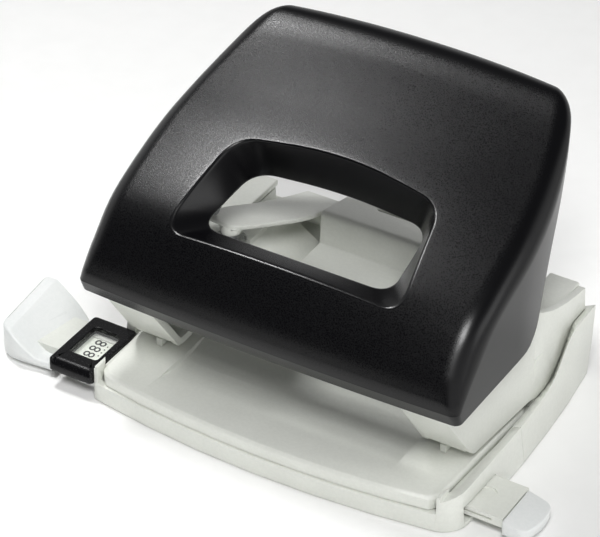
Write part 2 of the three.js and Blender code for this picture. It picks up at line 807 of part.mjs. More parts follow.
// ---------------------------------------------------------------- punching mechanism
function punchBracket(s) {
  const x = [s * bracket.inner, s * bracket.outer];
  const y = [bracket.front, paperStopY - gap];
  const low = box(x, y, [armBottomZ + 0.2, armBottomZ + 0.2 + bracket.plate]);
  const high = box(x, y, [bracket.topZ - bracket.plate, bracket.topZ]);
  const web = box(x, [y[1] - bracket.plate, y[1]], [armBottomZ + 0.2, bracket.topZ]);
  const bore = rod(
    "z",
    holeDiameter / 2 + 0.1,
    [armBottomZ - 1, bracket.topZ + 1],
    [s * pinX, pinY],
    32,
  );
  return cut(join([low, high, web]), [bore]);
}

function punchPin(s) {
  const axis = [s * pinX, pinY];
  const shank = rod("z", holeDiameter / 2, [pinTipZ, pinHeadZ - 1], axis, 32);
  const head = rod("z", holeDiameter / 2 - 0.6, [pinHeadZ - 1.1, pinHeadZ], axis, 32);
  // The cutting end is hollow-ground: a notch across it leaves two leading edges.
  const grind = prism(
    "y",
    [
      [axis[0] - 3.2, pinTipZ - 1],
      [axis[0] - 2.6, pinTipZ],
      [axis[0], pinTipZ + 1.3],
      [axis[0] + 2.6, pinTipZ],
      [axis[0] + 3.2, pinTipZ - 1],
    ],
    [pinY - 5, pinY + 5],
  );
  const groove = rod("z", 5, [pinClipZ - 0.1, pinClipZ + clipThickness + 0.1], axis, 32).subtract(
    rod("z", holeDiameter / 2 - 0.6, [pinClipZ - 1, pinClipZ + 2], axis, 32),
  );
  return cut(join([shank, head]), [grind, groove]);
}

// A retaining ring: a slotted washer around a shaft.
function retainingRing(axis, place, [a, b], shaft, outer) {
  const ring = rod(axis, outer, [place, place + clipThickness], [a, b], 28);
  const bore = rod(axis, shaft, [place - 1, place + 2], [a, b], 28);
  const reach = outer + 1;
  const mouth =
    axis === "z"
      ? box([a - 1.6, a + 1.6], [b, b + reach], [place - 1, place + 2])
      : box([place - 1, place + 2], [a - 1.6, a + 1.6], [b, b + reach]);
  return cut(ring, [bore, mouth]);
}

class Helix extends THREE.Curve {
  constructor(radius, height, turns) {
    super();
    Object.assign(this, { radius, height, turns });
  }
  getPoint(t, target = new THREE.Vector3()) {
    const angle = t * this.turns * 2 * Math.PI;
    return target.set(
      this.radius * Math.cos(angle),
      this.radius * Math.sin(angle),
      t * this.height,
    );
  }
}

function pinSpring(s) {
  const low = bracket.topZ + gap + springWire;
  const high = pinClipZ - gap - springWire;
  const wire = new THREE.Shape().absarc(0, 0, springWire, 0, 2 * Math.PI);
  const geometry = new THREE.ExtrudeGeometry(wire, {
    steps: springTurns * 10,
    curveSegments: 3,
    extrudePath: new Helix(springRadius, high - low, springTurns),
  });
  return solid(geometry.translate(s * pinX, pinY, low));
}

function die(s) {
  const axis = [s * pinX, pinY];
  const disc = rod("z", dieRadius, [deckTop + gap, tableTop], axis, 40);
  return disc.subtract(rod("z", holeDiameter / 2 + 0.15, [0, 20], axis, 40));
}

// A curved tongue from the lever axle to the head of the pin.
function pressLever(s) {
  const rise = (leverTipTopZ - leverRearTopZ) / (leverAxleY - pinY);
  const topAt = (y) => leverRearTopZ + rise * (leverAxleY - y);
  const blade = prism(
    "z",
    [
      [s * 38.4, leverAxleY + 4],
      [s * 40, 58, 8],
      [s * 44.6, 42, 10],
      [s * leverOuterX, 33, 8],
      [s * (leverOuterX - 0.6), pinY - 0.6, 3],
      [s * 37, pinY - 2.6, 5],
      [s * 31, 34, 14],
      [s * 25.6, 47, 10],
      [s * leverInnerX, leverAxleY + 4],
    ],
    [0, 80],
    8,
  );
  const skin = prism(
    "x",
    [
      [leverAxleY + 5, topAt(leverAxleY + 5)],
      [leverAxleY + 5, topAt(leverAxleY + 5) - leverThickness],
      [pinY - 6, topAt(pinY - 6) - leverThickness],
      [pinY - 6, topAt(pinY - 6)],
    ],
    [-60, 60],
  );
  const hubX = [s * (leverInnerX + 0.1), s * 38.2];
  const hub = rod("x", leverAxleRadius + 1.6, hubX.sort((p, q) => p - q), [leverAxleY, leverAxleZ]);
  const web = box(hubX, [leverAxleY - 1.4, leverAxleY + 1.4], [leverAxleZ, topAt(leverAxleY) - 1]);
  const underPlate = topAt(pinY) - leverThickness;
  const anvil = rod(
    "z",
    3.4,
    [pinHeadZ + gap, underPlate + 0.6],
    [s * pinX, pinY + 0.6],
    24,
  );
  const body = join([blade.intersect(skin), hub, web, anvil]);
  return body.subtract(rod("x", leverAxleRadius + 0.1, [-60, 60], [leverAxleY, leverAxleZ], 24));
}

// ---------------------------------------------------------------- handle
// The crown of the hood in side view, from its front rim to its rear rim, and the lower edge
// of its sides. Equal positions along the two curves share one cross-section.
const crownLine = pointsAt([
  [-22.6, handleRimZ],
  [-24, 45],
  [-25.4, 50],
  [-21.5, 58],
  [-12, 69],
  [0, 76.4],
  [21, 85.3],
  [40, 92.2],
  [60, 99.6],
  [71, 103.9],
  [76.4, 102.6],
  [77.6, 99],
  [77.5, 95],
]);
const sideLine = pointsAt([
  [22, handleRimZ],
  [23, handleRimZ + 0.4],
  [24.5, 42.2],
  [26, 43.3],
  [28, 44.8],
  [30.5, 48.5],
  [34.4, 58.5],
  [41, 70.6],
  [53, 84.6],
  [62, 90.6],
  [66, 92.8],
  [67.2, 93.8],
  [67.5, 94.6],
]);

const hoodHalfWidth = (y) => handleHalfWidth - 0.004 * Math.max(0, y - 15) ** 2;

// Cross-section of the hood, half of it: up the side, round the shoulder, over the crown.
// Returns [share of the half width, height] for u from 0 at the side edge to 1 on the crown.
function hoodSection(u, height, drop, shoulder) {
  const half = handleHalfWidth;
  const radius = Math.min(shoulder, height - drop - 0.2);
  const shoulderX = half - radius;
  const tilt = Math.atan((2 * drop) / shoulderX);
  const shoulderZ = height - drop - radius * Math.cos(tilt);
  if (u <= 0.25) return [1, shoulderZ * (u / 0.25)];
  if (u <= 0.55) {
    const turn = ((u - 0.25) / 0.3) * (Math.PI / 2 - tilt);
    const x = shoulderX + radius * Math.cos(turn);
    return [x / half, shoulderZ + radius * Math.sin(turn)];
  }
  const joinX = shoulderX + radius * Math.sin(tilt);
  const x = joinX * (1 - (u - 0.55) / 0.45);
  return [x / half, height - drop * (x / joinX) ** 2];
}

// A point of the hood's skin: t runs from the front rim to the rear rim, a from the left side
// edge (-1) to the right (1). The inner skin is the same skin drawn inset by the wall.
function hoodPoint(t, a, inset) {
  const low = sideLine.getPoint(t);
  const high = crownLine.getPoint(t);
  const along = crownLine.getTangent(t);
  high.add(new THREE.Vector2(along.y, -along.x).multiplyScalar(inset));
  const height = low.distanceTo(high);
  const drop = handleCrownDrop * Math.sin(Math.PI * Math.min(1, 0.15 + 0.85 * t)) + 0.3;
  const opening = smoothstep(t, rimShoulderEnds, shoulderFullFrom);
  const shoulder = lerp(handleRimShoulder, handleShoulder, opening) - 0.5 * inset;
  const [share, level] = hoodSection(1 - Math.abs(a), height, drop, shoulder);
  const place = low.lerp(high, level / height);
  const bow = rearEdgeBow * smoothstep(t, 0.6, 1) * share ** 2.5;
  return new THREE.Vector3(
    Math.sign(a) * share * (hoodHalfWidth(place.x) - inset),
    place.x - bow,
    place.y,
  );
}

const hoodRows = 24;
const hoodColumns = [0, 0.125, 0.25, 0.325, 0.4, 0.475, 0.55, 0.66, 0.77, 0.88, 1];

// The hood: its outer skin and the same skin set in by the wall, stitched along the rim.
function hoodShell() {
  const across = [
    ...hoodColumns.map((u) => u - 1),
    ...hoodColumns.slice(0, -1).reverse().map((u) => 1 - u),
  ];
  const rows = Array.from({ length: hoodRows + 1 }, (_, i) => i / hoodRows);
  const outer = rows.map((t) => across.map((a) => hoodPoint(t, a, 0)));
  const inner = rows.map((t) => across.map((a) => hoodPoint(t, a, handleWall)));
  const width = across.length;
  const positions = [...outer.flat(), ...inner.flat()].flatMap((p) => [p.x, p.y, p.z]);
  const under = rows.length * width;
  const faces = [];
  const quad = (a, b, c, d) => faces.push(a, b, c, a, c, d);
  for (let i = 0; i < rows.length - 1; i++)
    for (let j = 0; j < width - 1; j++) {
      const a = i * width + j;
      quad(a, a + 1, a + 1 + width, a + width);
      quad(under + a, under + a + width, under + a + 1 + width, under + a + 1);
    }
  const last = (rows.length - 1) * width;
  for (let j = 0; j < width - 1; j++) {
    quad(under + j, under + j + 1, j + 1, j);
    quad(last + j, last + j + 1, under + last + j + 1, under + last + j);
  }
  for (let i = 0; i < rows.length - 1; i++) {
    const a = i * width;
    const b = a + width - 1;
    quad(a, a + width, under + a + width, under + a);
    quad(under + b, under + b + width, b + width, b);
  }
  const geometry = new THREE.BufferGeometry();
  geometry.setAttribute("position", new THREE.Float32BufferAttribute(positions, 3));
  geometry.setIndex(faces);
  return solid(geometry);
}

// Height of the crown line above a point on the mid plane, on the hood's face.
function crownHeight(y) {
  let low = 0.2;
  let high = 0.9;
  for (let k = 0; k < 30; k++) {
    const middle = (low + high) / 2;
    if (crownLine.getPoint(middle).x < y) low = middle;
    else high = middle;
  }
  return crownLine.getPoint(low).y;
}

// The grip opening: its outline on the face, and the smaller one at the foot of its tunnel.
const gripFace = [
  [-41.6, -12, 7],
  [41.6, -12, 7],
  [36, 21.6, 8],
  [0, 26.4, 30],
  [-36, 21.6, 8],
];
const gripFoot = [
  [-33.4, -3.4, 7],
  [33.4, -3.4, 7],
  [31, 24.6, 8],
  [0, 27.6, 24],
  [-31, 24.6, 8],
];

function gripRing(corners, grow, heightAt) {
  const points = filleted(corners).getSpacedPoints(44).slice(0, -1);
  const centreY = 7;
  return points.map(({ x, y }) => {
    const reach = Math.hypot(x, y - centreY);
    const scale = (reach + grow) / reach;
    const place = [x * scale, centreY + (y - centreY) * scale];
    return [...place, heightAt(...place)];
  });
}

function handleShell() {
  const faceHeight = (x, y) =>
    crownHeight(clamp(y, -20, 60)) - handleCrownDrop * (x / 57) ** 2 - handleWall * 0.5;
  const footHeight = (x, y) => 67 + 0.19 * y;
  const face = gripRing(gripFace, 0, faceHeight);
  const foot = gripRing(gripFoot, 0, footHeight);
  const beyond = face.map((p, i) => p.map((v, k) => v + 0.6 * (v - foot[i][k])));
  const below = foot.map((p, i) => p.map((v, k) => v - 0.3 * (face[i][k] - v)));
  const tunnelOuter = loft([
    gripRing(gripFoot, handleWall, footHeight),
    gripRing(gripFace, handleWall, faceHeight),
  ]);
  return join([hoodShell(), tunnelOuter]).subtract(loft([below, face, beyond]));
}

// The pressing yoke: ears on the axle, a bar across the hood and a finger over each lever.
function handleYoke() {
  const ear = (s) => {
    const plate = prism(
      "x",
      [
        [pivotY - 5.5, pivotZ - 5.5, 5],
        [pivotY + 5.5, pivotZ - 5.5, 5],
        [pivotY + 6.5, yokeBarZ],
        [pivotY - 4.5, yokeBarZ],
      ],
      [s * earX, s * (earX + earThickness)],
    );
    const bore = rod("x", axleRadius + 0.1, [-90, 90], [pivotY, pivotZ], 28);
    return plate.subtract(bore);
  };
  const reach = handleHalfWidth - handleWall - 0.5;
  const bar = box([-reach, reach], [pivotY - 4.5, pivotY + 6.5], [yokeBarZ - 0.1, yokeBarZ + 3]);
  // Each finger reaches back from the bar and down to a rounded nose on its lever.
  const finger = (s) =>
    prism(
      "x",
      [
        [noseY - noseRadius, noseZ - noseRadius, noseRadius - 0.1],
        [noseY + noseRadius, noseZ - noseRadius, noseRadius - 0.1],
        [noseY + noseRadius, yokeBarZ + 3],
        [pivotY + 6, yokeBarZ + 3],
        [pivotY + 6, yokeBarZ - 0.1],
        [noseY - noseRadius, yokeBarZ - 0.1],
      ],
      [s * fingerInnerX, s * (fingerInnerX + fingerWidth)],
    );
  return join([bar, ...onBothSides(ear), ...onBothSides(finger)]);
}

// ---------------------------------------------------------------- guide bar
function guideBar() {
  const bar = prism(
    "z",
    [
      [barLeftX, barFrontY],
      [barRightX - gap, barFrontY],
      [barRightX - gap, barRearY],
      [barLeftX, barRearY],
    ],
    [barBottomZ, barTopZ],
  );
  const dimple = rod("z", 3, [barTopZ - 0.5, barTopZ + 1], [70, -6], 28);
  const edgeGroove = box([62, barRightX - 4], [barFrontY - 1, barFrontY + 0.8], [
    barBottomZ + 1.2,
    barBottomZ + 2,
  ]);
  const scaleSeat = box(
    [windowFrame.outer + 1.7, 8],
    [scaleFront - gap, scaleRear + gap],
    [barTopZ - scaleDepth, barTopZ + 1],
  );
  return cut(bar, [dimple, edgeGroove, scaleSeat]);
}

function scaleStrip() {
  return box(
    [windowFrame.outer + 2, 7.7],
    [scaleFront, scaleRear],
    [barTopZ - scaleDepth + gap, barTopZ],
  );
}

function barTip() {
  const plate = prism(
    "z",
    [
      [barRightX, barFrontY - tipOverhang, 1],
      [barTipX - 2.4, barFrontY - tipOverhang, 2.5],
      [barTipX, barFrontY + 7, 5],
      [barTipX - 1, barRearY - 2, 3],
      [barRightX, barRearY - 1],
    ],
    [barBottomZ - tipOverhang, barTopZ],
    6,
  );
  const slope = prism(
    "y",
    [
      [barRightX - 1, barTopZ],
      [barRightX + 1, barTopZ],
      [barTipX + 1, barTopZ - 1.6],
      [barTipX + 1, barTopZ + 1],
      [barRightX - 1, barTopZ + 1],
    ],
    [-40, 20],
  );
  return plate.subtract(slope);
}

function paperStop() {
  const wedge = prism(
    "y",
    [
      [stopOuterX, 2, 1],
      [stopOuterX, 15.8, 1],
      [stopOuterX + 3, 15.8, 1],
      [stopOuterX + 4, 13.4, 1.5],
      [stopInnerX, 5.2],
      [stopInnerX, 2],
    ],
    [stopFrontY, stopRearY],
  );
  const topSlope = prism(
    "x",
    [
      [stopFrontY - 1, 12],
      [stopRearY + 1, 16.2],
      [stopRearY + 1, 30],
      [stopFrontY - 1, 30],
    ],
    [-120, -70],
  );
  const plan = prism(
    "z",
    [
      [stopOuterX, stopFrontY + 3, 3],
      [stopOuterX + 6, stopFrontY, 4],
      [stopInnerX, stopFrontY + 1.5],
      [stopInnerX, stopRearY - 3, 3],
      [stopInnerX - 7, stopRearY, 4],
      [stopOuterX, stopRearY, 2],
    ],
    [-5, 40],
  );
  const barSeat = box(
    [barLeftX - gap, stopInnerX + 5],
    [barFrontY - gap, barRearY + gap],
    [barBottomZ - gap, barTopZ + gap],
  );
  return cut(wedge, [topSlope, barSeat]).intersect(plan);
}

function windowFrameBody() {
  const body = prism(
    "z",
    [
      [windowFrame.outer, windowFrame.front, 1.5],
      [windowFrame.inner, windowFrame.front, 1],
      [windowFrame.inner, windowFrame.rear, 1],
      [windowFrame.outer, windowFrame.rear, 1.5],
    ],
    [1.4, windowFrame.top],
  );
  const frontSlope = prism(
    "x",
    [
      [windowFrame.front - 1, windowFrame.top - 2.6],
      [windowFrame.front + 2.4, windowFrame.top + 0.1],
      [windowFrame.front - 1, windowFrame.top + 1],
    ],
    [-100, -50],
  );
  const lensSeat = box(
    [aperture.x - aperture.width / 2, aperture.x + aperture.width / 2],
    [aperture.y - aperture.length / 2, aperture.y + aperture.length / 2],
    [barTopZ, 20],
  );
  return cut(body, [frontSlope, barSlot(runningGap), lensSeat]);
}

function windowLens() {
  const halfX = aperture.width / 2 - gap;
  const halfY = aperture.length / 2 - gap;
  return box([aperture.x - halfX, aperture.x + halfX], [aperture.y - halfY, aperture.y + halfY], [
    windowFrame.top - 1.6,
    windowFrame.top - 0.6,
  ]);
}

// ---------------------------------------------------------------- fasteners and feet
function screw(s, y) {
  const head = rod("z", screwHead, [baseLift + 0.1, screwHeadTop - 0.2], [s * screwX, y], 20);
  const shank = rod("z", screwShank, [screwHeadTop - 0.4, deckTop + 7.6], [s * screwX, y], 16);
  const arms = [
    box([s * screwX - 1.8, s * screwX + 1.8], [y - 0.4, y + 0.4], [0, baseLift + 0.7]),
    box([s * screwX - 0.4, s * screwX + 0.4], [y - 1.8, y + 1.8], [0, baseLift + 0.7]),
  ];
  return cut(join([head, shank]), arms);
}

addNode("base_frame", baseFrame(), materials.light);
addNode("rear_tub", rearTub(), materials.light);
addNode("chip_tray", chipTray(), materials.light);
addNode("paper_table", paperTable(), materials.light);
addNode("punch_housing", punchHousing(), materials.light);
addNode("mechanism_cover", mechanismCover(), materials.light);
addNode(
  "pivot_axle",
  rod("x", axleRadius, [-axleHalf, axleHalf], [pivotY, pivotZ], 28),
  materials.steel,
);
addNode(
  "lever_axle",
  rod("x", leverAxleRadius, [-leverAxleHalf, leverAxleHalf], [leverAxleY, leverAxleZ], 24),
  materials.steel,
);
addNode("handle_shell", handleShell(), materials.black);
addNode("handle_yoke", handleYoke(), materials.zinc);
addNode("guide_bar", guideBar(), materials.light);
addNode("scale_strip", scaleStrip(), materials.scale);
addNode("bar_tip", barTip(), materials.pale);
addNode("paper_stop", paperStop(), materials.pale);
addNode("window_frame", windowFrameBody(), materials.gloss);
addNode("window_lens", windowLens(), materials.lens);
addNode(
  "front_grip_pad",
  box([gap - pad.halfX, pad.halfX - gap], [gap - pad.halfY, pad.halfY - gap], [0, pad.top - 0.2]),
  materials.rubber,
);

for (const [name, s] of Object.entries(sides)) {
  const clipX = s * (armInnerX + wall + 1) - (s < 0 ? clipThickness : 0);
  addNode(`rear_cap_${name}`, rearCap(s), materials.light);
  addNode(`punch_bracket_${name}`, punchBracket(s), materials.zinc);
  addNode(`punch_pin_${name}`, punchPin(s), materials.steel);
  addNode(
    `pin_clip_${name}`,
    retainingRing("z", pinClipZ, [s * pinX, pinY], holeDiameter / 2 - 0.5, 5.4),
    materials.steel,
  );
  addNode(`pin_spring_${name}`, pinSpring(s), materials.steel);
  addNode(`die_${name}`, die(s), materials.steel);
  addNode(`press_lever_${name}`, pressLever(s), materials.light);
  addNode(
    `axle_clip_${name}`,
    retainingRing("x", clipX, [pivotY, pivotZ], axleRadius + 0.1, 4.6),
    materials.steel,
  );
  addNode(
    `rear_foot_${name}`,
    rod("z", footRadius - 0.2, [0, footTop - 0.2], [s * footX, footY]),
    materials.rubber,
  );
  screwRows.forEach((y, i) =>
    addNode(`base_screw_${["front", "rear"][i]}_${name}`, screw(s, y), materials.zinc),
  );
}

export default group;
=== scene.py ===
import json
import math

import bmesh
import bpy
import numpy as np
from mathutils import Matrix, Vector

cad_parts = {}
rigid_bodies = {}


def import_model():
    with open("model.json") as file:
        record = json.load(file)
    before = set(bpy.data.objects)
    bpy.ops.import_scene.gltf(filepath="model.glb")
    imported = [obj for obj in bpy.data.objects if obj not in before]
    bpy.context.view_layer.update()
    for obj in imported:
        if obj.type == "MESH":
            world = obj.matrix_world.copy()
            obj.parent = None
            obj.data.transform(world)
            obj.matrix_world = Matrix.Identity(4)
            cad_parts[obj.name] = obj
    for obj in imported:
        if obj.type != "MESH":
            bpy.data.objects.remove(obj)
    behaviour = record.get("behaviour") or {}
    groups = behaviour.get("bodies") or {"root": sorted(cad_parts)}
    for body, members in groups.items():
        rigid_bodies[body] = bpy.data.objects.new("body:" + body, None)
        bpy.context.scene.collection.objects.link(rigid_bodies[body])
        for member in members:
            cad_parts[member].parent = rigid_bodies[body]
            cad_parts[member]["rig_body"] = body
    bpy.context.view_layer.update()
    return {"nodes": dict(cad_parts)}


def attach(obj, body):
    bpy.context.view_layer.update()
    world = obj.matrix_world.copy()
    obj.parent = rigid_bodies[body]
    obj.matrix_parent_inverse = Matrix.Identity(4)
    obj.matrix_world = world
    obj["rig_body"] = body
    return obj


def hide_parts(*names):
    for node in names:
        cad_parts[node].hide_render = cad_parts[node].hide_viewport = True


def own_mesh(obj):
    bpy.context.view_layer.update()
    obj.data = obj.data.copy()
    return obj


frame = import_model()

scene = bpy.context.scene
nodes = frame["nodes"]
mm = 0.001
print("frame loaded:", len(nodes), "nodes")


class Wire:
    # one output socket; +, - and * add Math nodes
    def __init__(self, shader, socket):
        self.shader, self.socket = shader, socket

    def maths(self, operation, a, b):
        return self.shader.add("ShaderNodeMath", {"operation": operation}, [a, b])

    def __add__(self, other):
        return self.maths("ADD", self, other)

    def __sub__(self, other):
        return self.maths("SUBTRACT", self, other)

    def __rsub__(self, other):
        return self.maths("SUBTRACT", other, self)

    def __mul__(self, other):
        return self.maths("MULTIPLY", self, other)

    __radd__, __rmul__ = __add__, __mul__


class Shader:
    def __init__(self, name, owner=None):
        self.material = owner or bpy.data.materials.new(name)
        self.material.use_nodes = True
        self.tree = self.material.node_tree
        self.principled = self.tree.nodes.get("Principled BSDF")

    # a node of any type: its settings first, then values or wires for its inputs
    def add(self, kind, settings=None, inputs=(), output=0):
        node = self.tree.nodes.new(kind)
        for key, value in (settings or {}).items():
            setattr(node, key, value)
        pairs = inputs.items() if isinstance(inputs, dict) else enumerate(inputs)
        for key, value in pairs:
            self.feed(node.inputs[key], value)
        return Wire(self, node.outputs[output])

    def feed(self, socket, value):
        if isinstance(value, Wire):
            self.tree.links.new(value.socket, socket)
        elif value is not None:
            socket.default_value = value

    def coords(self):
        return self.add("ShaderNodeTexCoord", output="Object")

    def noise(self, size, detail=2.0, rough=0.5, vector=None):
        inputs = {"Vector": vector or self.coords(), "Scale": 1 / size, "Detail": detail, "Roughness": rough}
        return self.add("ShaderNodeTexNoise", None, inputs)

    def cells(self, size):
        return self.add("ShaderNodeTexVoronoi", None, {"Vector": self.coords(), "Scale": 1 / size})

    def ramp(self, value, low, high, start=0.0, end=1.0):
        inputs = {"Value": value, "From Min": low, "From Max": high, "To Min": start, "To Max": end}
        return self.add("ShaderNodeMapRange", {"interpolation_type": "SMOOTHSTEP"}, inputs)

    def blend(self, share, first, second):
        return self.add("ShaderNodeMix", {"data_type": "RGBA"}, {0: share, 6: first, 7: second}, output=2)

    def attribute(self, name):
        return self.add("ShaderNodeAttribute", {"attribute_name": name}, output="Fac")

    def edges(self, low, high):
        return self.ramp(self.add("ShaderNodeNewGeometry", output="Pointiness"), low, high)

    def bump(self, height, depth):
        return self.add("ShaderNodeBump", None, {"Height": height, "Distance": depth})

    def finish(self, **values):
        names = {"colour": "Base Color", "roughness": "Roughness", "metallic": "Metallic", "normal": "Normal",
                 "alpha": "Alpha", "specular": "Specular IOR Level"}
        for key, value in values.items():
            self.feed(self.principled.inputs[names[key]], value)
        return self.material


def rgb(red, green, blue):
    # screen values 0..255 as a linear colour
    shares = np.array([red, green, blue]) / 255
    linear = np.where(shares <= 0.04045, shares / 12.92, ((shares + 0.055) / 1.055) ** 2.4)
    return (*linear.tolist(), 1.0)


def mouldedPlastic(name, tone, shadeTone, roughness, grain, grainDepth):
    # spark-textured moulding: faint cloudiness in the colour, fine pits in the bump, burnished edges
    s = Shader(name)
    cloud = s.ramp(s.noise(0.021, 3), 0.3, 0.7)
    speck = s.ramp(s.noise(0.0011, 2), 0.35, 0.65)
    worn = s.edges(0.53, 0.6)
    colour = s.blend(cloud * 0.6 + speck * 0.4, tone, shadeTone)
    shine = roughness + 0.05 * s.noise(0.004, 2) - 0.06 * worn
    pits = s.noise(grain, 3, 0.6)
    return s.finish(colour=colour, roughness=shine, normal=s.bump(pits, grainDepth))


def brushedMetal(name, tone, darkTone, roughness, stretch):
    # ground or plated metal: fine streaks and a few darker stains
    s = Shader(name)
    turned = s.add("ShaderNodeMapping", None, {"Vector": s.coords(), "Scale": stretch})
    streaks = s.noise(0.0011, 4, 0.6, turned)
    stains = s.ramp(s.noise(0.006, 3), 0.45, 0.75)
    colour = s.blend(stains * 0.5 + streaks * 0.3, tone, darkTone)
    shine = roughness + 0.16 * streaks + 0.1 * stains
    return s.finish(colour=colour, roughness=shine, metallic=1.0, normal=s.bump(streaks, 0.00002))


def handlePlastic():
    # black hood: fine grain on the face with lighter flecks painted into its colour as sparkle (a painted glint),
    # satin where the attribute says smooth
    s = Shader("handlePlastic")
    smooth = s.attribute("satin")
    rough = 1 - smooth
    speck = s.ramp(s.noise(0.00034, 2, 0.6), 0.42, 0.62)
    pebbles = s.cells(0.0005)
    haze = s.ramp(s.noise(0.03, 3), 0.3, 0.7)
    # painted glint: speck lightens the grained face's colour in fine flecks to stand in for sparkle; in the
    # roughness and bump below it is real grain
    colour = s.blend(speck * rough * 0.5, rgb(4, 4, 6), rgb(13, 13, 15))
    shine = 0.24 + (0.01 + 0.1 * speck) * rough + 0.02 * haze
    grain = (speck * 0.7 + pebbles * 0.5) * (rough * 0.9 + 0.1)
    return s.finish(colour=colour, roughness=shine, normal=s.bump(grain, 0.000012), specular=0.36)


def glossBlack():
    # polished black bezel with hairline scratches
    s = Shader("glossBlack")
    turned = s.add("ShaderNodeMapping", None, {"Vector": s.coords(), "Scale": (1, 14, 1)})
    hair = s.ramp(s.noise(0.004, 5, 0.7, turned), 0.62, 0.7)
    dust = s.ramp(s.noise(0.0006, 2), 0.62, 0.75)
    colour = s.blend(dust * 0.25, rgb(12, 12, 14), rgb(60, 60, 62))
    shine = 0.27 + 0.1 * hair + 0.08 * dust
    return s.finish(colour=colour, roughness=shine, normal=s.bump(hair, 0.000004), specular=0.3)


def clearLens():
    # clear pane, a little smeared
    s = Shader("clearLens")
    smear = s.ramp(s.noise(0.005, 3), 0.4, 0.7)
    return s.finish(colour=rgb(250, 252, 252), roughness=0.04 + 0.08 * smear, alpha=0.05 + 0.03 * smear)


def printedScale():
    # off-white printed strip, slightly mottled ink ground
    s = Shader("printedScale")
    mottle = s.ramp(s.noise(0.0015, 3), 0.3, 0.7)
    colour = s.blend(mottle, rgb(236, 240, 230), rgb(228, 233, 222))
    return s.finish(colour=colour, roughness=0.5 + 0.08 * mottle, normal=s.bump(mottle, 0.00001))


def printInk():
    # printed black, worn in places
    s = Shader("printInk")
    worn = s.ramp(s.noise(0.0004, 2), 0.55, 0.8)
    return s.finish(colour=s.blend(worn * 0.3, rgb(22, 23, 24), rgb(80, 82, 80)), roughness=0.55 + 0.1 * worn)


def footRubber():
    # matt rubber with fine pores and a dusty bloom
    s = Shader("footRubber")
    bloom = s.ramp(s.noise(0.004, 4), 0.35, 0.75)
    pores = s.cells(0.0009)
    colour = s.blend(bloom, rgb(48, 48, 50), rgb(70, 70, 70))
    return s.finish(colour=colour, roughness=0.82 + 0.1 * bloom, normal=s.bump(pores, 0.00008))


# the finish of each slot
finishes = {
    "light_plastic": mouldedPlastic("lightPlastic", rgb(229, 231, 224), rgb(222, 224, 217), 0.4, 0.0005, 0.00003),
    "pale_plastic": mouldedPlastic("palePlastic", rgb(236, 238, 237), rgb(229, 232, 231), 0.3, 0.0007, 0.000015),
    "black_plastic": handlePlastic(), "gloss_black": glossBlack(), "clear_lens": clearLens(),
    "scale_print": printedScale(), "dark_rubber": footRubber(),
    "bright_steel": brushedMetal("brightSteel", rgb(200, 201, 203), rgb(150, 150, 150), 0.2, (1, 1, 8)),
    "zinc_steel": brushedMetal("zincSteel", rgb(176, 178, 178), rgb(130, 132, 134), 0.34, (6, 1, 1)),
}
inkBlack = printInk()
print("materials made")


# a mesh object from points in metres that rides a body; its faces may be an array or a list of polygons,
# and its attributes hold one number for each point
def makePiece(name, points, faces, body, slotName, replaced=(), attributes=None, material=None):
    mesh = bpy.data.meshes.new(name)
    mesh.from_pydata(points.tolist(), [], faces if isinstance(faces, list) else faces.tolist())
    mesh.update()
    for key, values in (attributes or {}).items():
        layer = mesh.attributes.new(key, "FLOAT", "POINT")
        layer.data.foreach_set("value", np.asarray(values, np.float32).ravel())
    mesh.polygons.foreach_set("use_smooth", np.ones(len(mesh.polygons), bool))
    mesh.materials.append(material or finishes[slotName])
    piece = bpy.data.objects.new(name, mesh)
    scene.collection.objects.link(piece)
    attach(piece, body)
    if replaced:
        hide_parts(*replaced)
    return piece


def gridQuads(rows, columns, wrapRows=False, wrapColumns=False):
    # quads of a grid of points stored row by row; a wrapped direction joins its last line to its first
    r = np.arange(rows if wrapRows else rows - 1)[:, None]
    c = np.arange(columns if wrapColumns else columns - 1)[None, :]
    r2, c2 = (r + 1) % rows, (c + 1) % columns
    return np.stack([r * columns + c, r * columns + c2, r2 * columns + c2, r2 * columns + c], -1).reshape(-1, 4)


def smoothstep(value, low, high):
    share = np.clip((value - low) / (high - low), 0, 1)
    return share * share * (3 - 2 * share)


